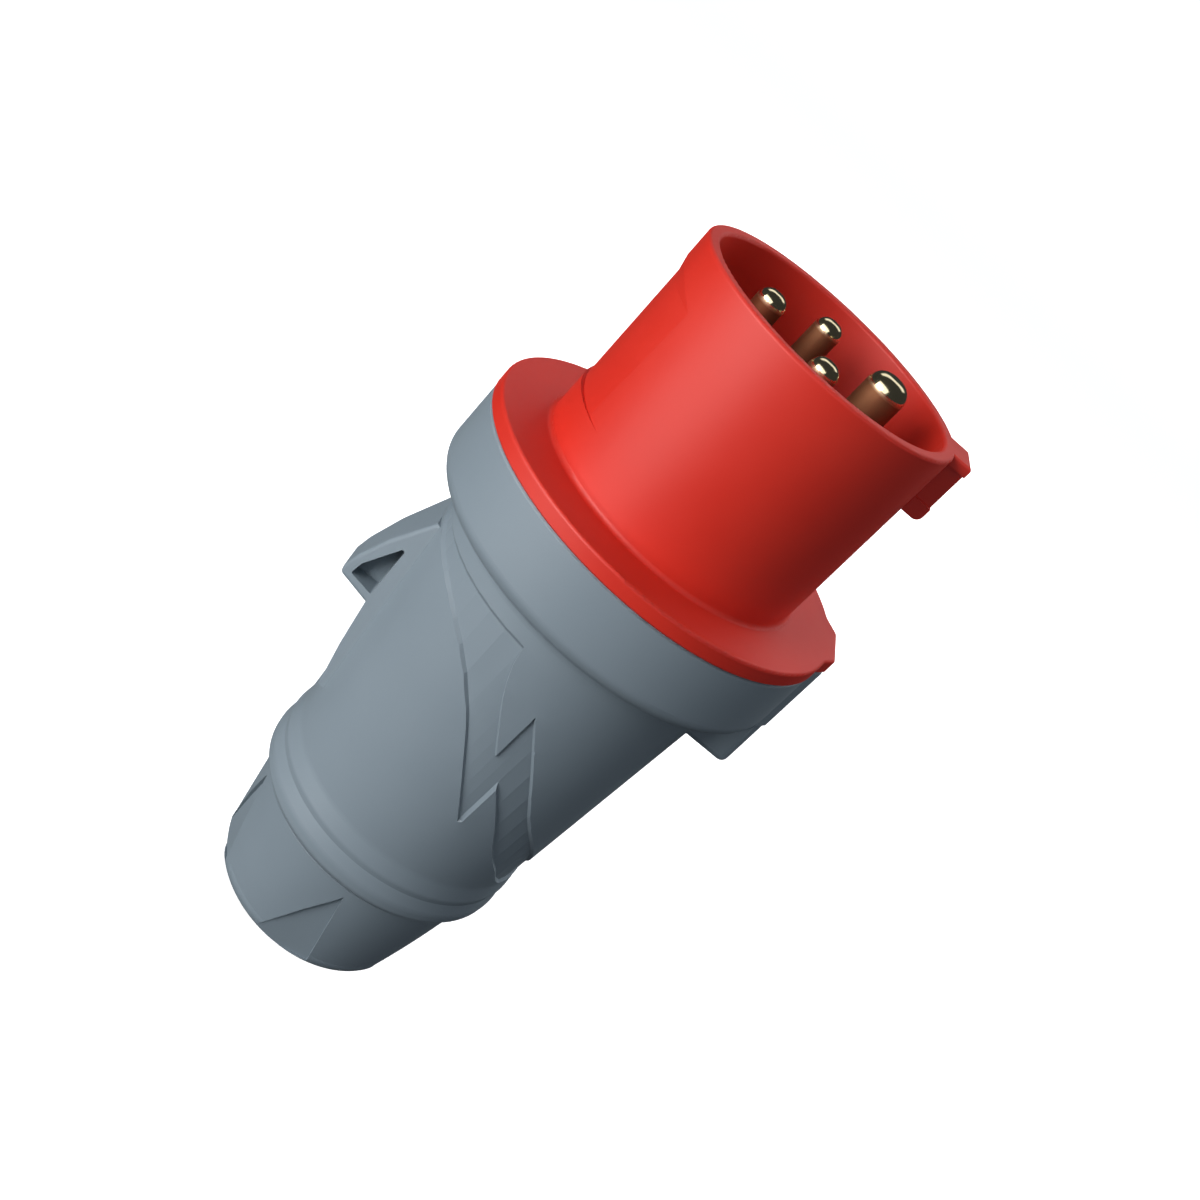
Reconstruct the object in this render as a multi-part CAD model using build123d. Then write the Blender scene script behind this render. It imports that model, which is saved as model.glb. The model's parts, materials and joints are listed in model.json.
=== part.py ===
from build123d import *
import os
from math import cos, hypot, radians, sin

# Industrial pin and sleeve plug, 16 A, four poles (three lines and earth), millimetres.
# +Z is the plug axis with the mouth up, the key (6 o'clock) is at +X, the hook
# (12 o'clock) at -X, and z = 0 is the rear face of the gland nut.

# Driving sizes
SLEEVE_R = 25.0
SLEEVE_DEPTH = 37.2
GRIP_LENGTH = 48.1
PIN_CIRCLE_R = 11.0
LINE_ANGLES = (90, 180, 270)
LINE_R = 2.5
EARTH_R = 3.5
CABLE_R = 6.5
NUT_FRONT_Z = 22.9
POCKET_COUNT = 5

# Clearances
PIN_GAP = 0.05
RUN_GAP = 0.08
SEAT_GAP = 0.2

# Levels along the axis, from the nut to the mouth
NUT_SHOULDER_Z = 3.2
RING_TOP_Z = NUT_SHOULDER_Z + 1.2
SPIGOT_END_Z = RING_TOP_Z + 3.6
SEAL_BACK_Z = SPIGOT_END_Z + 3.0
GLAND_SHOULDER_Z = SEAL_BACK_Z + 9.0
CHAMBER_BOTTOM_Z = GLAND_SHOULDER_Z + 5.5
RIDGE_BACK_Z = NUT_FRONT_Z + 0.4
RIDGE_TOP_Z = RIDGE_BACK_Z + 10.1
NECK_Z = RIDGE_TOP_Z + GRIP_LENGTH
COLLAR_BACK_Z = NECK_Z + 5.8
COLLAR_FLOOR_Z = COLLAR_BACK_Z + 2.5
FLANGE_BACK_Z = COLLAR_BACK_Z + 13.6
FLANGE_FRONT_Z = FLANGE_BACK_Z + 2.9
SEAL_WALL_TOP_Z = FLANGE_BACK_Z - 1.3
SKIRT_END_Z = FLANGE_BACK_Z - 8.0
FLOOR_BACK_Z = FLANGE_FRONT_Z - 6.0
CARRIER_BACK_Z = FLOOR_BACK_Z - 18.3
MOUTH_Z = FLANGE_FRONT_Z + SLEEVE_DEPTH

# Front sleeve, flange and skirt
SLEEVE_WALL = 2.3
DRAFT = 0.15
SLEEVE_BASE_R = SLEEVE_R - DRAFT
SLEEVE_IN_R = SLEEVE_R - SLEEVE_WALL
SLEEVE_IN_BASE_R = SLEEVE_IN_R - DRAFT
FLOOR_R = SLEEVE_R + 0.2
SKIRT_WALL = 2.0
SKIRT_R = SLEEVE_R + 6.0

# Rear body
BODY_WALL = 2.4
COLLAR_IN_R = SKIRT_R + 0.4
COLLAR_R = COLLAR_IN_R + 2.6
FLANGE_R = COLLAR_R + 0.15
SEAL_WALL_IN_R = FLOOR_R + 1.4
SEAL_WALL_R = SEAL_WALL_IN_R + 1.0
BODY_R_HIGH = SLEEVE_R + 2.4
BODY_R_LOW = BODY_R_HIGH - 3.2
RIDGE_R = BODY_R_LOW + 0.65
LUG_HALF = 5.0
LUG_REACH = COLLAR_R + 1.4
LUG_BACK_Z = COLLAR_BACK_Z - 10.9
HOOK_WEB = 3.6

# Key at 6 o'clock and lid land at 12 o'clock
KEY_REACH = SLEEVE_R + 3.15
KEY_HALF = 4.0
KEY_BACK_Z = MOUTH_Z - 11.7
KEY_PANEL_LOW_Z = MOUTH_Z - 8.8
KEY_PANEL_HIGH_Z = MOUTH_Z - 1.8
KEY_PANEL_DEPTH = 0.5
LAND_LOW_Z = FLANGE_FRONT_Z + 7.4
LAND_HIGH_Z = MOUTH_Z - 8.0
LAND_R = SLEEVE_R + 2.6
LAND_OFFSET = 3.15
LAND_GROOVE = 0.25
LAND_RUNOUT = 4.0

# Stepped band on the grip: azimuth in degrees, height as a share of the grip
BAND_DEPTH = 0.5
BAND_SLOPE = 0.6
BAND_RAMP = 1.6
ARC_LOW = [(-180, 0.976), (-170, 0.972), (-163, 0.959), (-156, 0.944), (-142, 0.920), (-129.7, 0.880),
           (-118.4, 0.826), (-112, 0.780), (-101.4, 0.672), (-90.2, 0.516), (-77, 0.320)]
ARC_HIGH = [(-180, 0.990), (-103.7, 0.990)]
DROP_HIGH = [(-103.7, 0.990), (-102.4, 0.921), (-97.9, 0.815), (-90.2, 0.692), (-85, 0.615)]
TAIL_LOW = [(-77, 0.536), (-65, 0.385), (-53.3, 0.233), (-41, 0.129), (-29.5, 0.040), (-2, 0.030)]
TAIL_HIGH = [(-85, 0.821), (-72.1, 0.651), (-55.5, 0.441), (-41, 0.310), (-27.6, 0.200),
             (-15, 0.100), (-2, 0.010)]

# Pins, their terminals and the carrier
LINE_TIP_Z = MOUTH_Z - 0.3
EARTH_TIP_Z = MOUTH_Z + 1.8
LINE_BARREL_R = LINE_R + 1.4
EARTH_BARREL_R = EARTH_R + 1.1
PIN_SHOULDER_H = 2.0
PIN_ROOT = 0.3
ROOT_TOP_Z = FLANGE_FRONT_Z - 0.6
BARREL_BACK_Z = CARRIER_BACK_Z + 1.0
BARREL_BORE_TOP_Z = BARREL_BACK_Z + 11.5
TERMINAL_Z = BARREL_BACK_Z + 6.0
CARRIER_R = PIN_CIRCLE_R + 9.5
CARRIER_SEAT_Z = CARRIER_BACK_Z + 10.0
CARRIER_SCREW_X = PIN_CIRCLE_R + 4.0

# Cable gland, from the cable outwards
SEAL_IN_R = CABLE_R + 3.5
PASSAGE_R = SEAL_IN_R + 2.5
SPIGOT_BORE_R = PASSAGE_R + 2.9
SPIGOT_R = SPIGOT_BORE_R + 2.4
THREAD_DEPTH = 0.7
NUT_FRONT_R = SPIGOT_R + 4.8
NUT_BACK_R = NUT_FRONT_R - 2.85
NUT_ROUND = 3.6
NUT_BORE_R = SEAL_IN_R + 0.5
NUT_APEX_Z = NUT_FRONT_Z - 2.3

# Closure screw in the 6 o'clock lug
CLOSURE_X = COLLAR_IN_R - 0.8
CLOSURE_R = 1.5
BOSS_R = CLOSURE_R + 1.1
CLOSURE_SEAT_Z = COLLAR_FLOOR_Z - 7.3
WASHER_H = 0.8
CLOSURE_HEAD_H = 2.2


def body_radius(z):
    """Outer radius of the tapered grey body at height z."""
    return BODY_R_LOW + (BODY_R_HIGH - BODY_R_LOW) * (z - RIDGE_TOP_Z) / GRIP_LENGTH


def corner_at(face, point):
    """Corner of a flat face nearest to a point."""
    return min(face.vertices(), key=lambda v: (v.X - point[0]) ** 2 + (v.Y - point[1]) ** 2)


def turned(points, rounds=None, bevels=None):
    """Solid of revolution about Z from (r, z) corners; rounds and bevels map a corner's index to its size."""
    face = make_face(Polyline(*points, close=True)).face()
    for index, radius in (rounds or {}).items():
        face = face.fillet_2d(radius, [corner_at(face, points[index])])
    for index, size in (bevels or {}).items():
        face = face.chamfer_2d(size, size, [corner_at(face, points[index])])
    return revolve(Plane.XZ * face, Axis.Z, 360)


def rod(radius, low, high, x=0.0, y=0.0):
    """Upright cylinder between two heights."""
    return Pos(x, y, low) * Cylinder(radius, high - low, align=(Align.CENTER, Align.CENTER, Align.MIN))


def block(x0, x1, y0, y1, z0, z1):
    """Box between two corners."""
    return Pos((x0 + x1) / 2, (y0 + y1) / 2, (z0 + z1) / 2) * Box(x1 - x0, y1 - y0, z1 - z0)


def around(shape, count, start=0.0):
    """Copies of a shape turned evenly about Z."""
    return [Rot(0, 0, start + 360 * i / count) * shape for i in range(count)]


def lug_outline(radius, reach):
    """Round outline with the 6 o'clock lug blended into it."""
    root_half = LUG_HALF + 6
    root_x = (radius ** 2 - root_half ** 2) ** 0.5 - 1.3
    corners = [(reach, LUG_HALF), (root_x, root_half), (radius / 2, 0), (root_x, -root_half), (reach, -LUG_HALF)]
    outline = Circle(radius) + make_face(Polyline(*corners, close=True))
    outline = fillet([v for v in outline.vertices() if v.X > reach - 0.1], 1.5)
    roots = [v for v in outline.vertices()
             if abs(v.Y) > LUG_HALF and abs(hypot(v.X, v.Y) - radius) < 0.01]
    return fillet(roots, 3.0)


def edges_at(solid, z, reach):
    """Outer edges lying in the plane at height z and further out than reach."""
    found = []
    for edge in solid.edges():
        box = edge.bounding_box()
        middle = edge @ 0.5
        if abs(box.min.Z - z) < 1e-3 and abs(box.max.Z - z) < 1e-3:
            if hypot(middle.X, middle.Y) > reach:
                found.append(edge)
    return found


def make_front_sleeve():
    """Red front: contact sleeve, floor, flange with lug, key, rear skirt and closure boss."""
    body = turned(
        [
            (0, FLOOR_BACK_Z), (FLOOR_R, FLOOR_BACK_Z), (FLOOR_R, FLANGE_BACK_Z),
            (SLEEVE_R + 4, FLANGE_BACK_Z), (SLEEVE_R + 4, FLANGE_FRONT_Z),
            (SLEEVE_BASE_R, FLANGE_FRONT_Z), (SLEEVE_R, MOUTH_Z), (SLEEVE_IN_R, MOUTH_Z),
            (SLEEVE_IN_BASE_R, FLANGE_FRONT_Z), (0, FLANGE_FRONT_Z),
        ],
        rounds={5: 0.8, 6: 0.6, 7: 0.6},
        bevels={8: 0.8},
    )
    outline = Pos(0, 0, FLANGE_BACK_Z) * lug_outline(FLANGE_R, LUG_REACH)
    flange = extrude(outline, FLANGE_FRONT_Z - FLANGE_BACK_Z)
    flange = fillet(edges_at(flange, FLANGE_FRONT_Z, SKIRT_R), 0.5)
    flange = chamfer(edges_at(flange, FLANGE_BACK_Z, SKIRT_R), 0.3)
    flange -= rod(SLEEVE_R + 2, FLANGE_BACK_Z - 1, FLANGE_FRONT_Z + 1)
    body += flange
    body += turned([
        (SKIRT_R - SKIRT_WALL, SKIRT_END_Z), (SKIRT_R, SKIRT_END_Z),
        (SKIRT_R, FLANGE_BACK_Z), (SKIRT_R - SKIRT_WALL, FLANGE_BACK_Z),
    ])
    body += rod(BOSS_R, COLLAR_FLOOR_Z + SEAT_GAP, FLANGE_BACK_Z, CLOSURE_X)
    body -= rod(CLOSURE_R + 0.5, COLLAR_FLOOR_Z, FLANGE_BACK_Z - 1.0, CLOSURE_X)
    body += block(-SKIRT_R - 1.2, -SKIRT_R + 0.5, -5, 5, SKIRT_END_Z + 1.1, SKIRT_END_Z + 3.1)
    body += make_key()
    body -= make_land()
    for pin_x, pin_y, radius in pin_places():
        body -= rod(radius + PIN_ROOT + PIN_GAP, FLOOR_BACK_Z - 1, FLANGE_FRONT_Z + 1, pin_x, pin_y)
        body -= rod(radius + 1.2, ROOT_TOP_Z, FLANGE_FRONT_Z + 1, pin_x, pin_y)
    for hole in around(rod(1.55, FLOOR_BACK_Z - 1, FLANGE_FRONT_Z - 1.5, CARRIER_SCREW_X), 2, 45):
        body -= hole
    return body


def make_key():
    """Polarising key on the outside of the sleeve."""
    key = block(SLEEVE_IN_R + 1.2, KEY_REACH, -KEY_HALF, KEY_HALF, KEY_BACK_Z, MOUTH_Z)
    low_edge = [e for e in key.edges().filter_by(Axis.Y)
                if (e @ 0.5).X > KEY_REACH - 0.1 and (e @ 0.5).Z < KEY_BACK_Z + 0.1]
    key = fillet(low_edge, 1.3)
    rims = [e for e in key.edges() if (e @ 0.5).X > SLEEVE_R and (e @ 0.5).Z > MOUTH_Z - 0.1]
    key = fillet(rims, 0.5)
    for side in (-1, 1):
        y0, y1 = sorted((side * (KEY_HALF - KEY_PANEL_DEPTH), side * (KEY_HALF + 1)))
        key -= block(SLEEVE_R - 0.3, KEY_REACH + 1, y0, y1, KEY_PANEL_LOW_Z, KEY_PANEL_HIGH_Z)
    wide = KEY_HALF + 1
    key -= block(KEY_REACH - 0.15, KEY_REACH + 1, -wide, wide, KEY_PANEL_LOW_Z, KEY_PANEL_HIGH_Z)
    return key


def make_land():
    """What the lid land takes off the sleeve at 12 o'clock: outside a wider cylinder set towards the key."""
    top = LAND_HIGH_Z + LAND_RUNOUT
    kept = turned([
        (0, LAND_LOW_Z - 1), (LAND_R - LAND_GROOVE, LAND_LOW_Z - 1), (LAND_R - LAND_GROOVE, LAND_LOW_Z + 0.25),
        (LAND_R, LAND_LOW_Z + 0.4), (LAND_R, LAND_HIGH_Z), (LAND_R + 0.8, top), (LAND_R + 0.8, top + 1),
        (0, top + 1),
    ])
    slab = block(-SLEEVE_R - 2, -SLEEVE_R * 0.6, -SLEEVE_R * 0.8, SLEEVE_R * 0.8, LAND_LOW_Z, top)
    return slab - Pos(LAND_OFFSET, 0, 0) * kept


def pin_places():
    """Centre and radius of the earth pin (6 o'clock) and the three line pins."""
    places = [(PIN_CIRCLE_R, 0.0, EARTH_R)]
    for degrees in LINE_ANGLES:
        angle = radians(degrees)
        places.append((PIN_CIRCLE_R * cos(angle), PIN_CIRCLE_R * sin(angle), LINE_R))
    return places


def make_pin(radius, tip_z, tip_round, barrel_r, bore_r, screw_r, angle):
    """Turned pin with shoulder, terminal barrel, conductor bore and screw hole."""
    top = FLOOR_BACK_Z
    pin = turned(
        [
            (0, BARREL_BACK_Z), (barrel_r, BARREL_BACK_Z), (barrel_r, top - PIN_SHOULDER_H),
            (barrel_r + 0.5, top - PIN_SHOULDER_H), (barrel_r + 0.5, top), (radius + PIN_ROOT, top),
            (radius + PIN_ROOT, ROOT_TOP_Z), (radius, ROOT_TOP_Z), (radius, tip_z), (0, tip_z),
        ],
        rounds={8: tip_round},
        bevels={1: 0.4},
    )
    pin -= rod(bore_r, BARREL_BACK_Z - 1, BARREL_BORE_TOP_Z)
    pin -= Pos(0, 0, TERMINAL_Z) * Rot(0, 90, 0) * Cylinder(
        screw_r, barrel_r + 1, align=(Align.CENTER, Align.CENTER, Align.MIN))
    return Rot(0, 0, angle) * Pos(PIN_CIRCLE_R, 0, 0) * pin


def radial_screw(shank_r, head_r, length, head_h, start, angle):
    """Screw with a cross slot lying along the radius at the terminals' height."""
    screw = rod(shank_r, 0, length + 0.3)
    head = rod(head_r, length, length + head_h)
    screw += chamfer(edges_at(head, length + head_h, -1), 0.4)
    screw -= Pos(0, 0, length + head_h) * Box(0.8, 2 * head_r + 1, 1.8)
    screw -= Pos(0, 0, length + head_h) * Box(2 * head_r * 0.6, 0.8, 1.8)
    return Rot(0, 0, angle) * Pos(start, 0, TERMINAL_Z) * Rot(0, 90, 0) * screw


def wire_guard(width, offset, bore_r, angle):
    """Thin spring-steel leaf between a terminal screw and the conductor."""
    low = BARREL_BACK_Z + 0.6
    leaf = block(offset - 0.4, offset, -width / 2, width / 2, low, BARREL_BORE_TOP_Z - 1.0)
    lip = block(offset - 0.4, offset + 0.55, -width / 2, width / 2, low, low + 0.4)
    lip &= rod(bore_r - 0.15, BARREL_BACK_Z, BARREL_BACK_Z + 3)
    return Rot(0, 0, angle) * Pos(PIN_CIRCLE_R, 0, 0) * (leaf + lip)


def make_carrier():
    """Insulating carrier that holds the pins' shoulders against the floor."""
    below = CARRIER_BACK_Z - 1
    above = FLOOR_BACK_Z + 1
    carrier = turned(
        [(0, CARRIER_BACK_Z), (CARRIER_R, CARRIER_BACK_Z), (CARRIER_R, FLOOR_BACK_Z), (0, FLOOR_BACK_Z)],
        bevels={1: 1.0, 2: 0.5},
    )
    carrier -= rod(4.5, below, FLOOR_BACK_Z - 3)
    for index, (pin_x, pin_y, radius) in enumerate(pin_places()):
        barrel = EARTH_BARREL_R if index == 0 else LINE_BARREL_R
        carrier -= rod(barrel + 0.1, below, above, pin_x, pin_y)
        carrier -= rod(barrel + 0.6, FLOOR_BACK_Z - PIN_SHOULDER_H, above, pin_x, pin_y)
        window = Pos(PIN_CIRCLE_R, 0, TERMINAL_Z) * Rot(0, 90, 0) * Cylinder(
            3.2, 12, align=(Align.CENTER, Align.CENTER, Align.MIN))
        carrier -= Rot(0, 0, 90 * index) * window
    for hole in around(rod(1.55, below, above, CARRIER_SCREW_X), 2, 45):
        carrier -= hole
    for seat in around(rod(3.1, below, CARRIER_SEAT_Z, CARRIER_SCREW_X), 2, 45):
        carrier -= seat
    for notch in around(block(CARRIER_R - 2.9, CARRIER_R + 1, -2.2, 2.2, below, above), 2, 135):
        carrier -= notch
    return carrier


def axial_screw(shank_r, head_r, head_h, seat, high, x):
    """Screw with its head down, cross recess, the head's bearing face at height seat."""
    low = seat - head_h
    shank = rod(shank_r, seat - 0.2, high)
    head = rod(head_r, low, seat)
    screw = chamfer(edges_at(shank, high, -1), shank_r * 0.4) + chamfer(edges_at(head, low, -1), head_h * 0.3)
    for turn in (0, 90):
        screw -= Pos(0, 0, low) * Rot(0, 0, turn) * Box(head_r * 1.1, 0.7, 2.2)
    return Pos(x, 0, 0) * screw


def share_on(line, azimuth):
    """Share at one azimuth of the smooth curve through a line of (azimuth, share) points."""
    slopes = []
    for i in range(len(line)):
        (a0, s0), (a1, s1) = line[max(i - 1, 0)], line[min(i + 1, len(line) - 1)]
        slopes.append((s1 - s0) / (a1 - a0))
    index = max(i for i in range(len(line) - 1) if line[i][0] <= azimuth + 1e-9)
    (a0, s0), (a1, s1) = line[index], line[index + 1]
    t = (azimuth - a0) / (a1 - a0)
    lift = (a1 - a0) * (slopes[index] * t * (1 - t) ** 2 - slopes[index + 1] * t ** 2 * (1 - t))
    return s0 + (s1 - s0) * t ** 2 * (3 - 2 * t) + lift


def band_section(low, high, azimuth, depth):
    """Upright section of the band's cutter at one azimuth: a floor between two heights and sloped sides."""
    spread = BAND_SLOPE * (depth + 1) / BAND_DEPTH
    corners = [
        (body_radius(low) - depth, low), (body_radius(low) + 1, low - spread),
        (body_radius(high) + 1, high + spread), (body_radius(high) - depth, high),
    ]
    turn = radians(azimuth)
    upright = Plane(origin=(0, 0, 0), x_dir=(cos(turn), sin(turn), 0), z_dir=(sin(turn), -cos(turn), 0))
    return upright * make_face(Polyline(*corners, close=True)).face()


def band_run(low_line, high_line, azimuths, ramp=False):
    """Ruled cutter for one run of the band; a ramp leads its last section up to the surface."""
    sections = []
    for azimuth in azimuths:
        low = RIDGE_TOP_Z + GRIP_LENGTH * share_on(low_line, azimuth)
        high = RIDGE_TOP_Z + GRIP_LENGTH * share_on(high_line, azimuth)
        sections.append(band_section(low, high, azimuth, BAND_DEPTH))
    if ramp:
        sections.append(band_section(low, high, azimuths[-1] + BAND_RAMP, -0.05))
    return loft(sections, ruled=True)


def band_cutters():
    """The stepped band on one flank: an arc under the collar, the step and a tail down to the ridge."""
    return [
        band_run(ARC_LOW, ARC_HIGH, [-180, -172, -166, -160, -152, -144, -136, -128, -120, -112, -103.7]),
        band_run(ARC_LOW, DROP_HIGH, [-103.7, -102.4, -100, -97, -93.5, -89, -85]),
        band_run(ARC_LOW, TAIL_HIGH, [-85, -81, -77], ramp=True),
        band_run(TAIL_LOW, TAIL_HIGH, [-77, -70, -63, -56, -49, -42, -35, -28, -21, -14, -8]),
    ]


def hook_plan():
    """Plan of the hook, narrower outwards."""
    far_x = -BODY_R_HIGH - 8.6
    near_x = -BODY_R_HIGH + 7.4
    return make_face(Polyline((far_x, -3.4), (near_x, -9.4), (near_x, 9.4), (far_x, 3.4), close=True))


def make_hook():
    """Hook and the pad that runs out below it, at 12 o'clock."""
    steps = [(-7.4, 2.5), (-0.4, 3.1), (3.8, 11.9), (5.95, 18.1), (6.55, 21.1), (6.3, 22.7), (0.05, 22.9),
             (-0.6, 27.5), (-1.2, 31.5), (-2.1, 36.0), (-2.9, 40.0), (-7.4, 40.0)]
    outline = [(-BODY_R_HIGH - out, NECK_Z - down) for out, down in steps]
    side = make_face(Polyline(*outline, close=True)).face()
    for index, radius in ((2, 8.0), (5, 0.9), (3, 3.0), (7, 12.0), (9, 12.0)):
        side = side.fillet_2d(radius, [corner_at(side, outline[index])])
    hook = extrude(Plane.XZ * side, 12, both=True)
    hook &= extrude(Pos(0, 0, NECK_Z - 42) * hook_plan(), 43)
    outer = [e for e in hook.edges()
             if (e @ 0.5).X < -BODY_R_HIGH - 0.6 and abs((e @ 0.5).Y) > 3 and (e @ 0.5).Z > NECK_Z - 22]
    return fillet(outer, 0.9)


def hook_pocket(side):
    """Four-sided recess in a flank of the hook, down to the web in the middle."""
    steps = [(0.5, 9.8), (4.5, 18.3), (4.9, 21.0), (0.2, 20.9)]
    outline = [(-BODY_R_HIGH - out, NECK_Z - down) for out, down in steps]
    face = fillet(make_face(Polyline(*outline, close=True)).vertices(), 0.35)
    pocket = Pos(0, -HOOK_WEB / 2, 0) * extrude(Plane.XZ * face, 12)
    return mirror(pocket, Plane.XZ) if side > 0 else pocket


def make_rear_body():
    """Grey body: collar, tapered grip with its band, ridge, gland spigot, hook and lug."""
    spigot_r = SPIGOT_R - THREAD_DEPTH
    body = turned(
        [
            (0, SPIGOT_END_Z), (spigot_r, SPIGOT_END_Z), (spigot_r, RIDGE_BACK_Z),
            (BODY_R_LOW - 0.8, RIDGE_BACK_Z), (RIDGE_R - 0.25, RIDGE_BACK_Z + 1.4), (RIDGE_R, RIDGE_BACK_Z + 3.4),
            (RIDGE_R - 0.45, RIDGE_BACK_Z + 6.2), (RIDGE_R - 0.2, RIDGE_BACK_Z + 7.4),
            (BODY_R_LOW, RIDGE_TOP_Z + 0.8), (BODY_R_HIGH, NECK_Z), (BODY_R_HIGH + 0.3, COLLAR_BACK_Z),
            (COLLAR_R, COLLAR_BACK_Z), (COLLAR_R, FLANGE_BACK_Z), (COLLAR_IN_R, FLANGE_BACK_Z),
            (COLLAR_IN_R, COLLAR_FLOOR_Z), (SEAL_WALL_R, COLLAR_FLOOR_Z), (SEAL_WALL_R, SEAL_WALL_TOP_Z),
            (0, SEAL_WALL_TOP_Z),
        ],
        rounds={4: 1.5, 5: 4.0, 7: 2.0, 8: 5.0, 10: 3.2, 11: 3.0, 12: 0.45},
        bevels={1: 0.5},
    )
    for cutter in band_cutters():
        body -= cutter
        body -= mirror(cutter, Plane.XZ)
    body += make_lug()
    body += make_hook()
    for side in (-1, 1):
        body -= hook_pocket(side)
    body -= turned(
        [
            (0, SPIGOT_END_Z - 1), (SPIGOT_BORE_R, SPIGOT_END_Z - 1), (SPIGOT_BORE_R, GLAND_SHOULDER_Z),
            (PASSAGE_R, GLAND_SHOULDER_Z), (PASSAGE_R, CHAMBER_BOTTOM_Z),
            (BODY_R_LOW - BODY_WALL - 1.2, CHAMBER_BOTTOM_Z), (BODY_R_LOW - BODY_WALL, RIDGE_TOP_Z),
            (BODY_R_HIGH - BODY_WALL, NECK_Z), (BODY_R_HIGH - BODY_WALL + 0.3, COLLAR_FLOOR_Z),
            (SEAL_WALL_IN_R, COLLAR_FLOOR_Z), (SEAL_WALL_IN_R, SEAL_WALL_TOP_Z + 1), (0, SEAL_WALL_TOP_Z + 1),
        ],
        bevels={5: 1.0},
    )
    body -= rod(BOSS_R + 0.3, COLLAR_FLOOR_Z, FLANGE_BACK_Z + 1, CLOSURE_X)
    body -= rod(CLOSURE_R + 0.15, LUG_BACK_Z - 1, FLANGE_BACK_Z, CLOSURE_X)
    body -= rod(3.3, LUG_BACK_Z - 1, CLOSURE_SEAT_Z, CLOSURE_X)
    body -= block(-SKIRT_R - 1.5, -SKIRT_R + 1, -5.4, 5.4, SKIRT_END_Z + 0.7, SKIRT_END_Z + 3.5)
    return body


def make_lug():
    """Closure lug at 6 o'clock: the collar's wedge and the block that runs down the body."""
    reach = LUG_REACH - 0.1
    outline = Pos(0, 0, COLLAR_BACK_Z) * lug_outline(COLLAR_R - 0.02, reach)
    wedge = extrude(outline, FLANGE_BACK_Z - COLLAR_BACK_Z)
    wedge &= block(COLLAR_IN_R - 0.9, LUG_REACH + 5, -12, 12, COLLAR_BACK_Z - 7, FLANGE_BACK_Z + 9)
    wedge -= rod(COLLAR_R - 1.2, COLLAR_BACK_Z - 7, FLANGE_BACK_Z + 9)
    wedge = chamfer(edges_at(wedge, FLANGE_BACK_Z, COLLAR_R - 0.5), 0.3)
    tail = block(BODY_R_HIGH - 1.4, reach, -LUG_HALF, LUG_HALF, LUG_BACK_Z, COLLAR_BACK_Z + 3)
    tail = fillet([e for e in tail.edges().filter_by(Axis.Z) if (e @ 0.5).X > reach - 0.1], 1.5)
    rim = [e for e in tail.edges() if (e @ 0.5).Z < LUG_BACK_Z + 0.01 and (e @ 0.5).X > BODY_R_HIGH]
    return wedge + fillet(rim, 1.3)


def make_gland_nut():
    """Gland nut with grip pockets, thread bore to the major diameter and cable mouth."""
    bore = SPIGOT_R + RUN_GAP
    relief = SPIGOT_R - 0.9
    nut = turned(
        [
            (NUT_BORE_R, 0), (NUT_BACK_R, 0), (NUT_BACK_R, NUT_ROUND), (NUT_FRONT_R, NUT_FRONT_Z),
            (bore, NUT_FRONT_Z), (bore, SPIGOT_END_Z - 1.0), (relief, SPIGOT_END_Z - 1.8),
            (relief, NUT_SHOULDER_Z), (NUT_BORE_R, NUT_SHOULDER_Z),
        ],
        rounds={1: 3.4},
        bevels={0: 0.8, 3: 0.4, 4: 0.5},
    )
    for pocket in around(grip_pocket(), POCKET_COUNT, -86.1):
        nut -= pocket
    return nut


def grip_pocket():
    """Three-sided recess that deepens towards its steep flank; apex on +X before turning."""
    outline = [(0, NUT_APEX_Z), (4.1, 1.6), (-7.6, -0.4), (-3.4, 12.2)]
    plane = Plane(origin=(0, 0, 0), x_dir=(0, 1, 0), z_dir=(1, 0, 0))
    prism = extrude(plane * make_face(Polyline(*outline, close=True)), NUT_FRONT_R + 1.4)
    slope = (NUT_FRONT_R - NUT_BACK_R) / (NUT_FRONT_Z - NUT_ROUND)
    apex_r = NUT_BACK_R + slope * (NUT_APEX_Z - NUT_ROUND)
    # Floor plane through a shallow apex, a deep right foot and a left foot at the surface.
    span = 4 * NUT_FRONT_R
    apex = Vector(apex_r - 0.55, 0, NUT_APEX_Z)
    right = Vector(NUT_BACK_R - 1.35, 4.1, 1.6)
    left = Vector(NUT_BACK_R - 1.75, -7.6, 0.6)
    normal = (right - apex).cross(left - apex).normalized()
    if normal.X < 0:
        normal = -normal
    return prism & (Plane(origin=apex, z_dir=normal) * Pos(0, 0, span / 2) * Box(span, span, span))


def make_gland_seal():
    """Rubber seal in the spigot, against the inner shoulder."""
    outer = SPIGOT_BORE_R - 0.1
    return turned(
        [(SEAL_IN_R, SEAL_BACK_Z), (outer, SEAL_BACK_Z), (outer, GLAND_SHOULDER_Z), (SEAL_IN_R, GLAND_SHOULDER_Z)],
        bevels={1: 0.5},
    )


def make_seal_ring():
    """Removable inner ring of the seal, hanging on its own small flange."""
    low = SEAL_BACK_Z - 0.7
    outer = SEAL_IN_R - PIN_GAP
    return turned(
        [
            (CABLE_R, low), (SEAL_IN_R + 0.7, low), (SEAL_IN_R + 0.7, SEAL_BACK_Z), (outer, SEAL_BACK_Z),
            (outer, GLAND_SHOULDER_Z), (CABLE_R, GLAND_SHOULDER_Z),
        ],
        bevels={0: 0.3},
    )


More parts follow.
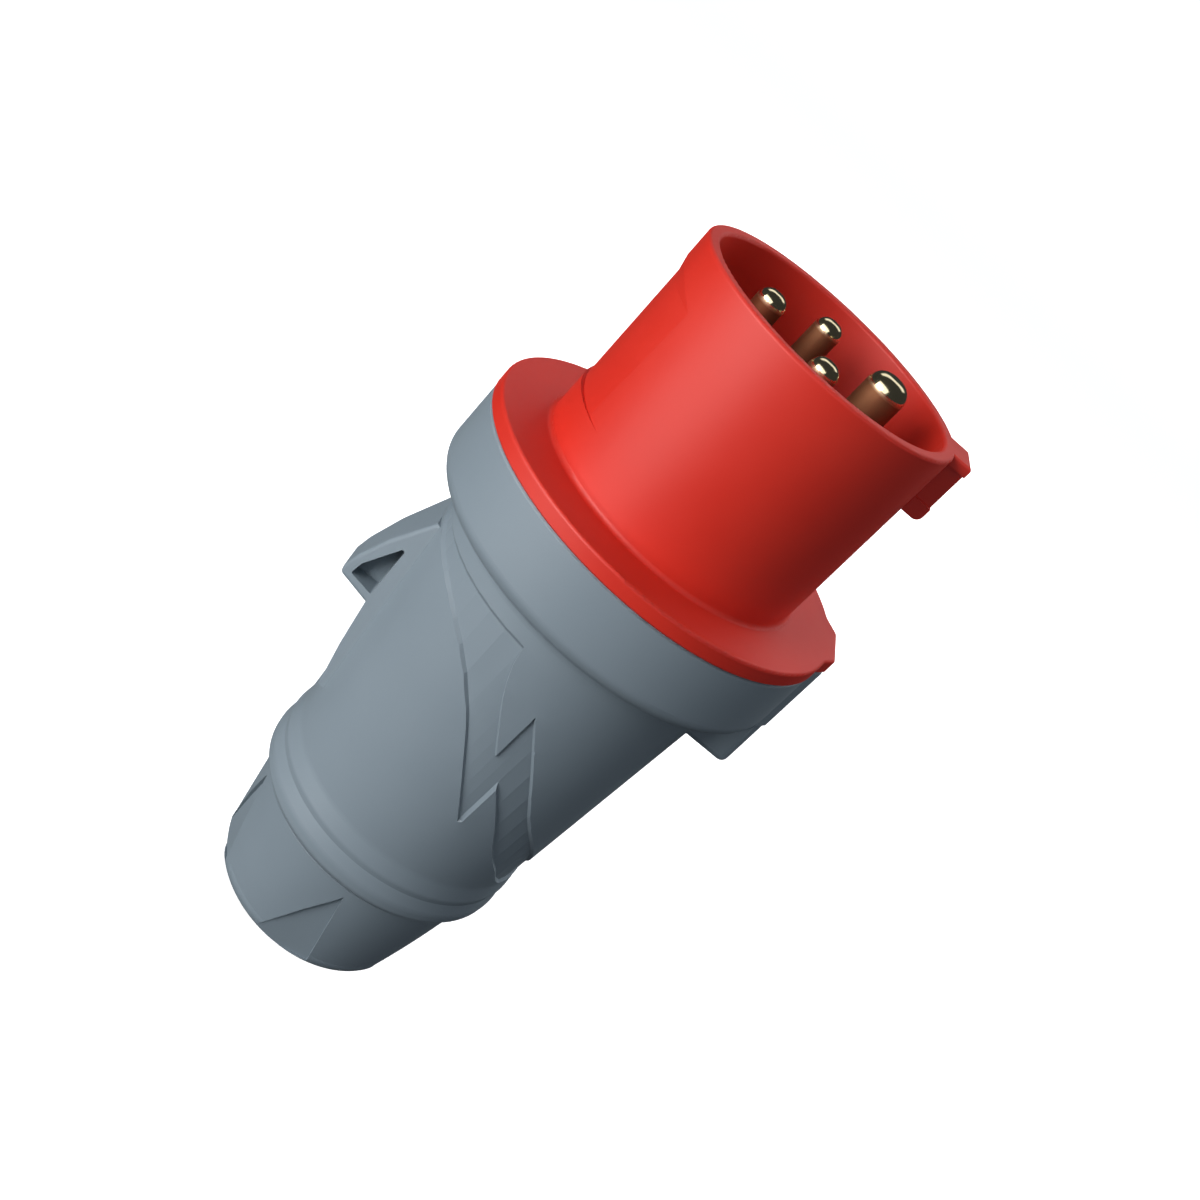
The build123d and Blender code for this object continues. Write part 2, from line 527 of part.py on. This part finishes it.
def make_clamp_cage():
    """Strain-relief cage: a ring in the spigot with fingers towards the nut."""
    inner = SEAL_IN_R + 0.9
    outer = SPIGOT_BORE_R - 0.15
    cage = turned([
        (inner, RING_TOP_Z), (inner + 1.7, RING_TOP_Z), (outer - 0.85, SPIGOT_END_Z - 0.4),
        (outer, SPIGOT_END_Z + 0.4), (outer, SEAL_BACK_Z), (inner, SEAL_BACK_Z),
    ])
    slot = block(inner - 2, outer + 2, -0.45, 0.45, RING_TOP_Z - 0.4, SEAL_BACK_Z - 1.8)
    for gap in around(slot, 12, 15):
        cage -= gap
    return cage


def make_thrust_ring():
    """Slip ring between the nut's shoulder and the cage."""
    outer = SPIGOT_R - 1.3
    inner = NUT_BORE_R + 0.3
    return turned(
        [(inner, NUT_SHOULDER_Z), (outer, NUT_SHOULDER_Z), (outer, RING_TOP_Z), (inner, RING_TOP_Z)],
        bevels={2: 0.3},
    )


def make_flange_seal():
    """Rubber ring around the floor, under the flange and inside the body's seal wall."""
    inner = FLOOR_R + PIN_GAP
    outer = SEAL_WALL_IN_R - PIN_GAP
    low = FLOOR_BACK_Z + 0.4
    return turned([(inner, low), (outer, low), (outer, FLANGE_BACK_Z), (inner, FLANGE_BACK_Z)])


def make_closure_insert():
    """Brass insert in the sleeve's boss."""
    low = COLLAR_FLOOR_Z + 2.2
    high = FLANGE_BACK_Z - 1.0
    return rod(CLOSURE_R + 0.47, low, high, CLOSURE_X) - rod(CLOSURE_R + PIN_GAP, low - 1, high + 1, CLOSURE_X)


def make_closure_washer():
    """Flat washer under the closure screw's head."""
    washer = rod(3.15, CLOSURE_SEAT_Z - WASHER_H, CLOSURE_SEAT_Z, CLOSURE_X)
    return washer - rod(CLOSURE_R + PIN_GAP, CLOSURE_SEAT_Z - 2, CLOSURE_SEAT_Z + 1, CLOSURE_X)


def line_pin(angle):
    """One line pin at its place on the pin circle."""
    return make_pin(LINE_R, LINE_TIP_Z, LINE_R - 0.5, LINE_BARREL_R, LINE_R - 0.4, LINE_R - 0.7, angle)


def line_screw(angle):
    """Terminal screw of one line pin."""
    return radial_screw(LINE_R - 0.75, LINE_R + 0.2, 3.6, 2.4, PIN_CIRCLE_R + 1.3, angle)


def build():
    """All nodes of the plug by name."""
    earth_pin = make_pin(EARTH_R, EARTH_TIP_Z, EARTH_R - 0.9, EARTH_BARREL_R, EARTH_R - 1.1, EARTH_R - 1.45, 0)
    carrier_screw = axial_screw(1.5, 2.8, 2.0, CARRIER_SEAT_Z, FLANGE_FRONT_Z - 1.8, CARRIER_SCREW_X)
    return {
        "front_sleeve": make_front_sleeve(),
        "contact_carrier": make_carrier(),
        "earth_pin": earth_pin,
        "line_pin_1": line_pin(90),
        "line_pin_2": line_pin(180),
        "line_pin_3": line_pin(270),
        "line_terminal_screws": Compound([line_screw(angle) for angle in LINE_ANGLES]),
        "earth_terminal_screw": radial_screw(EARTH_R - 1.5, EARTH_R - 0.6, 3.9, 2.6, PIN_CIRCLE_R + 1.5, 0),
        "line_wire_guards": Compound([wire_guard(2.8, 1.3, LINE_R - 0.4, angle) for angle in LINE_ANGLES]),
        "earth_wire_guard": wire_guard(3.4, 1.5, EARTH_R - 1.1, 0),
        "carrier_screws": Compound(around(carrier_screw, 2, 45)),
        "flange_seal": make_flange_seal(),
        "closure_insert": make_closure_insert(),
        "closure_screw": axial_screw(CLOSURE_R, 2.9, CLOSURE_HEAD_H, CLOSURE_SEAT_Z - WASHER_H,
                                     FLANGE_BACK_Z - 1.9, CLOSURE_X),
        "closure_washer": make_closure_washer(),
        "rear_body": make_rear_body(),
        "gland_seal": make_gland_seal(),
        "seal_inner_ring": make_seal_ring(),
        "clamp_cage": make_clamp_cage(),
        "thrust_ring": make_thrust_ring(),
        "gland_nut": make_gland_nut(),
    }


os.makedirs("parts", exist_ok=True)
for name, shape in build().items():
    export_step(shape, "parts/" + name + ".step")
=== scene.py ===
import json
from math import cos, pi, radians, sin

import bmesh
import bpy
from mathutils import Matrix, Vector


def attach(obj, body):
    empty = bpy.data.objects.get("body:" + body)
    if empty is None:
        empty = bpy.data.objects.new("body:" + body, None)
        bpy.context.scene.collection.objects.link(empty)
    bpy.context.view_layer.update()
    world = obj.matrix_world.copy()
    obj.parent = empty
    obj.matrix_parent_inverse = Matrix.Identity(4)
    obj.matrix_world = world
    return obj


# Industrial pin and sleeve plug. The CAD pieces are shown as they are, with moulded,
# turned and rubber finishes; the gland's thread is added here.
# Lengths are in metres unless a name ends in _mm or _MM.

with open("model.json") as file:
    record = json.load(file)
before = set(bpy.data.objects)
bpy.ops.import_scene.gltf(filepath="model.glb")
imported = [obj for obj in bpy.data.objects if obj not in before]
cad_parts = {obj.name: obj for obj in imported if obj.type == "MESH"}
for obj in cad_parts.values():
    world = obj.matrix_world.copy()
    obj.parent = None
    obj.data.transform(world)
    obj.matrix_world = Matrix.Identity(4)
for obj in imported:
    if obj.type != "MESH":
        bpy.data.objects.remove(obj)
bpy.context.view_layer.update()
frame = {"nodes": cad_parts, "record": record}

MM = 0.001

# Turned brass pins: where the polish of the tips begins, and over how much it fades in.
LINE_POLISH_Z_MM = 138.8
EARTH_POLISH_Z_MM = 140.3
POLISH_FADE_MM = 0.4

# Faces of the CAD that meet in less than this angle are shaded as one. The floor of the
# stepped band is cut in flats that meet at about 5 degrees; the mould's is curved.
FACET_LIMIT = radians(12)

# Gland thread. Its ridges stand on the plain CAD walls of spigot and nut.
THREAD_PITCH = 2.5 * MM
THREAD_HEIGHT = 0.62 * MM
THREAD_BASE_HALF = 0.62 * MM
THREAD_CREST_HALF = 0.28 * MM
THREAD_SINK = 0.1 * MM
THREAD_RUN_OUT = 0.05
THREAD_END_SCALE = 0.05
STEPS_PER_TURN = 96
SPIGOT_ROOT_R = 17.1 * MM
SPIGOT_THREAD_Z = 8.9 * MM
SPIGOT_TURNS = 5.2
NUT_BORE_R = 17.88 * MM
NUT_THREAD_Z = 9.2 * MM
NUT_TURNS = 5.0

# Camera, fitted to 60 points on the photo's outline. The lens gives 1600 pixels of focal
# length on a picture of 1200.
CAMERA_PLACE = (-0.04117, -0.23597, 0.19243)
CAMERA_TURN = radians(10.3)
CAMERA_PITCH = 0.42714
CAMERA_ROLL = radians(44.025)
LENS_MM = 48.0
SENSOR_MM = 36.0
NEAREST_SEEN = 0.01

# Studio. The floor lies just under the nut when that is backed off by three turns.
PLUG_MIDDLE = Vector((0, 0, 0.09))
FLOOR_Z = -7.8 * MM
FLOOR_R = 1.4
BEND_R = 0.9
BEND_STEPS = 12
WALL_TOP_Z = 3.0
SECTORS = 96
PAPER_GLOW = 0.84
WHITE = (1.0, 1.0, 1.0, 1.0)

# Sockets of the mix node when it mixes colours.
COLOUR_A, COLOUR_B, COLOUR_OUT = 6, 7, 2


def hex_colour(code):
    """Linear colour from an sRGB hex value."""
    levels = [int(code[i:i + 2], 16) / 255 for i in (0, 2, 4)]
    linear = [v / 12.92 if v <= 0.04045 else ((v + 0.055) / 1.055) ** 2.4 for v in levels]
    return (*linear, 1.0)


def per_mm(size_mm):
    """Noise scale that gives lumps of about this size."""
    return 1000.0 / size_mm


def add_node(tree, kind, inputs=None, **settings):
    """One node with its settings; each input is a value or another node's output."""
    made = tree.nodes.new(kind)
    for name, value in settings.items():
        setattr(made, name, value)
    for name, value in (inputs or {}).items():
        if isinstance(value, bpy.types.NodeSocket):
            tree.links.new(value, made.inputs[name])
        else:
            made.inputs[name].default_value = value
    return made


def new_surface(name):
    """Empty material with its principled shader and object coordinates."""
    surface = bpy.data.materials.new(name)
    surface.use_nodes = True
    tree = surface.node_tree
    tree.nodes.clear()
    shader = add_node(tree, "ShaderNodeBsdfPrincipled")
    add_node(tree, "ShaderNodeOutputMaterial", {"Surface": shader.outputs["BSDF"]})
    place = add_node(tree, "ShaderNodeTexCoord").outputs["Object"]
    return surface, tree, shader, place


def two_shades(tree, shader, factor, shade, other):
    """Base colour that drifts between two shades."""
    mix = add_node(tree, "ShaderNodeMix", {
        0: factor, COLOUR_A: hex_colour(shade), COLOUR_B: hex_colour(other)}, data_type="RGBA")
    tree.links.new(mix.outputs[COLOUR_OUT], shader.inputs["Base Color"])


def spread(tree, noise, low, high):
    """The middle of a noise, where nearly all of it lies, stretched to run from low to high."""
    stretched = add_node(tree, "ShaderNodeMapRange", {
        "Value": noise, "From Min": 0.3, "From Max": 0.7, "To Min": low, "To Max": high})
    return stretched.outputs[0]


def emboss(tree, shader, height, depth_mm, strength):
    """Bump of this depth from a height pattern."""
    bump = add_node(tree, "ShaderNodeBump", {
        "Height": height, "Strength": strength, "Distance": depth_mm * MM})
    tree.links.new(bump.outputs[0], shader.inputs["Normal"])


def moulded_plastic(name, shade, other, roughness, grain_mm, grain_depth_mm, ior=1.53):
    """Injection-moulded plastic: faint shade and gloss clouds, and a spark-eroded grain."""
    surface, tree, shader, place = new_surface(name)
    shader.inputs["IOR"].default_value = ior
    clouds = add_node(tree, "ShaderNodeTexNoise", {
        "Vector": place, "Scale": per_mm(14), "Detail": 3.0}).outputs[0]
    two_shades(tree, shader, clouds, shade, other)
    dull = spread(tree, clouds, roughness - 0.03, roughness + 0.05)
    tree.links.new(dull, shader.inputs["Roughness"])
    grain = add_node(tree, "ShaderNodeTexNoise", {
        "Vector": place, "Scale": per_mm(grain_mm), "Detail": 2.0, "Roughness": 0.6})
    emboss(tree, shader, grain.outputs[0], grain_depth_mm, strength=1.0)
    return surface


def turned_brass(name, polish_z_mm):
    """Turned brass pin: tool rings round the shaft, a polished tip above polish_z_mm."""
    surface, tree, shader, place = new_surface(name)
    shader.inputs["Metallic"].default_value = 1.0
    height = add_node(tree, "ShaderNodeSeparateXYZ", {0: place}).outputs["Z"]
    tip = add_node(tree, "ShaderNodeMapRange", {
        "Value": height, "From Min": (polish_z_mm - POLISH_FADE_MM) * MM,
        "From Max": (polish_z_mm + POLISH_FADE_MM) * MM}).outputs[0]
    two_shades(tree, shader, tip, "976A4C", "EADDB6")
    smears = add_node(tree, "ShaderNodeTexNoise", {
        "Vector": place, "Scale": per_mm(2.5), "Detail": 3.0}).outputs[0]
    dull = add_node(tree, "ShaderNodeMix", {
        0: tip, 2: spread(tree, smears, 0.56, 0.68), 3: spread(tree, smears, 0.12, 0.17)})
    tree.links.new(dull.outputs[0], shader.inputs["Roughness"])
    rings = add_node(tree, "ShaderNodeMapping", {"Vector": place, "Scale": (0.02, 0.02, 1.0)})
    tool_marks = add_node(tree, "ShaderNodeTexNoise", {
        "Vector": rings.outputs[0], "Scale": per_mm(0.3), "Detail": 2.0})
    emboss(tree, shader, tool_marks.outputs[0], 0.004, strength=0.6)
    return surface


def worked_metal(name, shade, other, roughness, grain_mm, stretch):
    """Plated, rolled or turned metal: grain drawn out where stretch is small."""
    surface, tree, shader, place = new_surface(name)
    shader.inputs["Metallic"].default_value = 1.0
    smears = add_node(tree, "ShaderNodeTexNoise", {
        "Vector": place, "Scale": per_mm(2.0), "Detail": 3.0}).outputs[0]
    two_shades(tree, shader, smears, shade, other)
    dull = spread(tree, smears, roughness - 0.06, roughness + 0.08)
    tree.links.new(dull, shader.inputs["Roughness"])
    stretched = add_node(tree, "ShaderNodeMapping", {"Vector": place, "Scale": stretch})
    grain = add_node(tree, "ShaderNodeTexNoise", {
        "Vector": stretched.outputs[0], "Scale": per_mm(grain_mm), "Detail": 3.0})
    emboss(tree, shader, grain.outputs[0], 0.008, strength=0.6)
    return surface


# Glass-filled polyamide takes a satin skin from the spark-eroded mould: broad soft
# highlights and a grain. The real grain is about 0.1 mm; it is drawn at 0.3 mm to show.
red_polyamide = moulded_plastic(
    "red_moulded_polyamide", "CA210F", "D12813", 0.5, grain_mm=0.32, grain_depth_mm=0.006)
# The grey body has a deeper, drier grain than the red front; the nut is a shade darker.
grey_polyamide = moulded_plastic(
    "grey_moulded_polyamide", "7A868E", "7D8991", 0.5, grain_mm=0.3, grain_depth_mm=0.010)
nut_polyamide = moulded_plastic(
    "grey_moulded_nut_polyamide", "78848C", "7B878F", 0.49, grain_mm=0.3, grain_depth_mm=0.010)
# The carrier and the slip ring are black polyamide, with a weak satin shine.
black_polyamide = moulded_plastic(
    "black_moulded_polyamide", "1E1F21", "292A2D", 0.48, grain_mm=0.35, grain_depth_mm=0.008)
# Acetal for the clamp cage: milky and a little slippery.
white_acetal = moulded_plastic(
    "natural_moulded_acetal", "C6C5BC", "CFCEC6", 0.34, grain_mm=0.4, grain_depth_mm=0.004,
    ior=1.48)
# Moulded chloroprene rubber: almost black, dusty and dull.
black_rubber = moulded_plastic(
    "black_moulded_rubber", "181818", "232323", 0.78, grain_mm=0.45, grain_depth_mm=0.014,
    ior=1.52)
# Turned brass pins: the shafts have dulled brown in use, the tips are polished bright by
# the sockets, so the eye gets soft brown below and hard mirrored lights on the domes.
line_brass = turned_brass("turned_brass_line_pin", LINE_POLISH_Z_MM)
earth_brass = turned_brass("turned_brass_earth_pin", EARTH_POLISH_Z_MM)
# Zinc-plated screws: bluish, slightly cloudy plating over a cold-headed blank.
zinc_steel = worked_metal(
    "zinc_plated_steel", "A9ADB0", "C0C2C2", 0.32, grain_mm=0.25, stretch=(1.0, 1.0, 1.0))
# Rolled spring strip: grey and bright, with fine lines along the strip.
spring_strip = worked_metal(
    "rolled_spring_steel", "8E9194", "A6A8AA", 0.3, grain_mm=0.2, stretch=(1.0, 1.0, 0.05))
# Brass insert, turned and left raw: yellow, with fine rings.
insert_brass = worked_metal(
    "turned_insert_brass", "A8863F", "BC9A52", 0.3, grain_mm=0.25, stretch=(0.1, 0.1, 1.0))

FINISHES = {
    "red_plastic": red_polyamide,
    "grey_plastic": grey_polyamide,
    "nut_plastic": nut_polyamide,
    "black_plastic": black_polyamide,
    "cage_plastic": white_acetal,
    "seal_rubber": black_rubber,
    "pin_brass": line_brass,
    "screw_steel": zinc_steel,
    "spring_steel": spring_strip,
    "insert_brass": insert_brass,
}


def dress_cad_pieces():
    """Give each CAD piece the finish of its slot; the earth pin's polish starts higher."""
    for subpart in frame["record"]["subparts"]:
        mesh = frame["nodes"][subpart["node"]].data
        mesh.materials.clear()
        finish = FINISHES[subpart["material_slot"]]
        mesh.materials.append(earth_brass if subpart["node"] == "earth_pin" else finish)


def soften_facets(mesh, limit):
    """Shade faces that meet in less than this angle as one surface; no vertex moves."""
    normals = [item.vector.copy() for item in mesh.corner_normals]
    corners_at = [[] for _ in mesh.vertices]
    for loop in mesh.loops:
        corners_at[loop.vertex_index].append(loop.index)
    softened = list(normals)
    for corners in corners_at:
        directions = {normals[i].to_tuple(3): normals[i] for i in corners}.values()
        for i in corners:
            near = [other for other in directions if normals[i].dot(other) > cos(limit)]
            softened[i] = sum(near, Vector()).normalized()
    mesh.normals_split_custom_set(softened)


def thread_tree():
    """Ridge of a trapezoid section along a right-hand helix, fading out at both ends."""
    tree = bpy.data.node_groups.new("thread_ridge", "GeometryNodeTree")
    for label in ("Radius", "Turns", "Height", "Sink", "Low", "Start"):
        tree.interface.new_socket(name=label, in_out="INPUT", socket_type="NodeSocketFloat")
    tree.interface.new_socket(name="Material", in_out="INPUT", socket_type="NodeSocketMaterial")
    tree.interface.new_socket(name="Geometry", in_out="OUTPUT", socket_type="NodeSocketGeometry")
    sizes = add_node(tree, "NodeGroupInput").outputs
    rise = add_node(tree, "ShaderNodeMath", {0: THREAD_PITCH, 1: sizes["Turns"]},
                    operation="MULTIPLY")
    helix = add_node(tree, "GeometryNodeCurveSpiral", {
        "Resolution": STEPS_PER_TURN, "Rotations": sizes["Turns"],
        "Start Radius": sizes["Radius"], "End Radius": sizes["Radius"],
        "Height": rise.outputs[0], "Reverse": True})
    level = add_node(tree, "GeometryNodeSetCurveNormal", {"Curve": helix.outputs[0]}, mode="Z_UP")

    # The section's X points away from the plug's axis and its Y along it.
    section = add_node(tree, "GeometryNodeCurvePrimitiveQuadrilateral", mode="POINTS")
    corners = (("Sink", -THREAD_BASE_HALF), ("Sink", THREAD_BASE_HALF),
               ("Height", THREAD_CREST_HALF), ("Height", -THREAD_CREST_HALF))
    for number, (depth, across) in enumerate(corners, start=1):
        corner = add_node(tree, "ShaderNodeCombineXYZ", {"X": sizes[depth], "Y": across})
        tree.links.new(corner.outputs[0], section.inputs[f"Point {number}"])

    along = add_node(tree, "GeometryNodeSplineParameter").outputs["Factor"]
    back = add_node(tree, "ShaderNodeMath", {0: 1.0, 1: along}, operation="SUBTRACT")
    near_end = add_node(tree, "ShaderNodeMath", {0: along, 1: back.outputs[0]},
                        operation="MINIMUM")
    fade = add_node(tree, "ShaderNodeMapRange", {
        "Value": near_end.outputs[0], "From Max": THREAD_RUN_OUT, "To Min": THREAD_END_SCALE})
    ridge = add_node(tree, "GeometryNodeCurveToMesh", {
        "Curve": level.outputs[0], "Profile Curve": section.outputs[0],
        "Scale": fade.outputs[0], "Fill Caps": True})
    lift = add_node(tree, "ShaderNodeCombineXYZ", {"Z": sizes["Low"]})
    turn = add_node(tree, "ShaderNodeCombineXYZ", {"Z": sizes["Start"]})
    placed = add_node(tree, "GeometryNodeTransform", {
        "Geometry": ridge.outputs[0], "Translation": lift.outputs[0],
        "Rotation": turn.outputs[0]})
    real = add_node(tree, "GeometryNodeRealizeInstances", {"Geometry": placed.outputs[0]})
    finished = add_node(tree, "GeometryNodeSetMaterial", {
        "Geometry": real.outputs[0], "Material": sizes["Material"]})
    add_node(tree, "NodeGroupOutput", {"Geometry": finished.outputs[0]})
    return tree


def thread_ridge(name, tree, sizes):
    """Plain mesh made by the thread tree with these sizes, its faces turned outward."""
    maker = bpy.data.objects.new(name + "_maker", bpy.data.meshes.new(name + "_maker"))
    bpy.context.scene.collection.objects.link(maker)
    modifier = maker.modifiers.new("thread", "NODES")
    modifier.node_group = tree
    for item in tree.interface.items_tree:
        if item.in_out == "INPUT":
            modifier[item.identifier] = sizes[item.name]
    depsgraph = bpy.context.evaluated_depsgraph_get()
    mesh = bpy.data.meshes.new_from_object(maker.evaluated_get(depsgraph))
    mesh.name = name
    bpy.data.objects.remove(maker)
    faces = bmesh.new()
    faces.from_mesh(mesh)
    bmesh.ops.recalc_face_normals(faces, faces=faces.faces)
    faces.to_mesh(mesh)
    faces.free()
    piece = bpy.data.objects.new(name, mesh)
    bpy.context.scene.collection.objects.link(piece)
    return piece


def aim_camera():
    """Camera where the photograph was taken, turned, pitched down and rolled as it was."""
    turn, pitch, roll = CAMERA_TURN, CAMERA_PITCH, CAMERA_ROLL
    level_right = Vector((cos(turn), -sin(turn), 0))
    level_up = Vector((sin(pitch) * sin(turn), sin(pitch) * cos(turn), cos(pitch)))
    right = cos(roll) * level_right + sin(roll) * level_up
    up = cos(roll) * level_up - sin(roll) * level_right
    lens = bpy.data.cameras.new("photo_camera")
    lens.lens = LENS_MM
    lens.sensor_width = SENSOR_MM
    lens.clip_start = NEAREST_SEEN
    camera = bpy.data.objects.new("photo_camera", lens)
    bpy.context.scene.collection.objects.link(camera)
    stand = Matrix.Translation(CAMERA_PLACE)
    camera.matrix_world = stand @ Matrix((right, up, right.cross(up))).transposed().to_4x4()
    bpy.context.scene.camera = camera


def soft_box(name, place, width, height, watts, lights=True, mirrored=True):
    """White soft box facing the plug, that lights it, is mirrored by it, or both."""
    lamp = bpy.data.lights.new(name, "AREA")
    lamp.shape = "RECTANGLE"
    lamp.size = width
    lamp.size_y = height
    lamp.energy = watts
    box = bpy.data.objects.new(name, lamp)
    bpy.context.scene.collection.objects.link(box)
    box.location = place
    box.rotation_euler = (PLUG_MIDDLE - Vector(place)).to_track_quat("-Z", "Y").to_euler()
    box.visible_diffuse = lights
    box.visible_glossy = mirrored
    return box


def studio_sweep():
    """Round pale floor that curves up into a wall, so that no horizon shows."""
    bend = [pi / 2 * step / BEND_STEPS for step in range(1, BEND_STEPS + 1)]
    rings = [(FLOOR_R, FLOOR_Z)]
    rings += [(FLOOR_R + BEND_R * sin(a), FLOOR_Z + BEND_R * (1 - cos(a))) for a in bend]
    rings.append((FLOOR_R + BEND_R, WALL_TOP_Z))
    turns = [2 * pi * i / SECTORS for i in range(SECTORS)]
    corners = [(0.0, 0.0, FLOOR_Z)]
    for radius, height in rings:
        corners += [(radius * cos(a), radius * sin(a), height) for a in turns]
    after = [(i + 1) % SECTORS for i in range(SECTORS)]
    faces = [(0, 1 + i, 1 + after[i]) for i in range(SECTORS)]
    for ring in range(len(rings) - 1):
        low, high = 1 + ring * SECTORS, 1 + (ring + 1) * SECTORS
        faces += [(low + i, high + i, high + after[i], low + after[i]) for i in range(SECTORS)]
    mesh = bpy.data.meshes.new("studio_sweep")
    mesh.from_pydata(corners, [], faces)
    mesh.shade_smooth()
    sweep = bpy.data.objects.new("studio_sweep", mesh)
    bpy.context.scene.collection.objects.link(sweep)
    sweep.visible_diffuse = False
    sweep.visible_glossy = False
    sweep.visible_shadow = False
    # Matt paper that glows a little: plain white to the eye, with no shadow or shine.
    paper, _, shader, _ = new_surface("matt_studio_paper")
    shader.inputs["Base Color"].default_value = hex_colour("D8D8D8")
    shader.inputs["Roughness"].default_value = 0.9
    shader.inputs["Specular IOR Level"].default_value = 0.1
    shader.inputs["Emission Color"].default_value = WHITE
    shader.inputs["Emission Strength"].default_value = PAPER_GLOW
    mesh.materials.append(paper)
    return sweep


def studio_air():
    """White for the camera, a dim bluish light on the plug, and darker in its reflections."""
    world = bpy.data.worlds.new("studio_air")
    bpy.context.scene.world = world
    world.use_nodes = True
    tree = world.node_tree
    tree.nodes.clear()
    direction = add_node(tree, "ShaderNodeTexCoord").outputs["Generated"]
    up = add_node(tree, "ShaderNodeSeparateXYZ", {0: direction}).outputs["Z"]
    height = add_node(tree, "ShaderNodeMapRange", {"Value": up, "From Min": -1.0})
    colour = add_node(tree, "ShaderNodeMix", {
        0: height.outputs[0], COLOUR_A: hex_colour("26282C"), COLOUR_B: hex_colour("838B95")},
        data_type="RGBA")
    ray = add_node(tree, "ShaderNodeLightPath").outputs
    for kind, seen in (("Is Glossy Ray", hex_colour("343536")), ("Is Camera Ray", WHITE)):
        colour = add_node(tree, "ShaderNodeMix", {
            0: ray[kind], COLOUR_A: colour.outputs[COLOUR_OUT], COLOUR_B: seen},
            data_type="RGBA")
    glow = add_node(tree, "ShaderNodeBackground", {"Color": colour.outputs[COLOUR_OUT]})
    add_node(tree, "ShaderNodeOutputWorld", {"Surface": glow.outputs[0]})


dress_cad_pieces()
soften_facets(frame["nodes"]["rear_body"].data, FACET_LIMIT)

ridge_tree = thread_tree()
spigot_thread = thread_ridge("spigot_thread", ridge_tree, {
    "Radius": SPIGOT_ROOT_R, "Turns": SPIGOT_TURNS, "Height": THREAD_HEIGHT,
    "Sink": -THREAD_SINK, "Low": SPIGOT_THREAD_Z, "Start": 0.0, "Material": grey_polyamide})
# The nut's ridge lies midway between two turns of the spigot's.
nut_start = 2 * pi * ((NUT_THREAD_Z - SPIGOT_THREAD_Z) / THREAD_PITCH + 0.5)
nut_thread = thread_ridge("nut_thread", ridge_tree, {
    "Radius": NUT_BORE_R, "Turns": NUT_TURNS, "Height": -THREAD_HEIGHT,
    "Sink": THREAD_SINK, "Low": NUT_THREAD_Z, "Start": nut_start, "Material": nut_polyamide})
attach(spigot_thread, "housing")
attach(nut_thread, "nut")

aim_camera()
studio_air()
# Boxes that would put a shine on the flange aren't mirrored. The cards are only mirrored:
# they give the bright tips their highlights.
studio_sweep()
soft_box("key_box", (-0.66, -0.5, 0.23), 0.6, 0.6, 8.8)
soft_box("top_box", (0.16, -0.1, 0.74), 0.5, 0.9, 0.8, mirrored=False)
soft_box("fill_box", (0.42, -0.62, 0.25), 0.6, 0.6, 0.34, mirrored=False)
soft_box("back_box", (0.33, 0.57, 0.33), 0.6, 0.6, 5.2, mirrored=False)
soft_box("long_card", (-0.5, -0.6, 0.5), 1.2, 0.6, 3.6, lights=False)
soft_box("top_card", (0.04, 0.46, 0.62), 0.9, 0.26, 0.8, lights=False)
bpy.context.scene.view_settings.view_transform = "Standard"
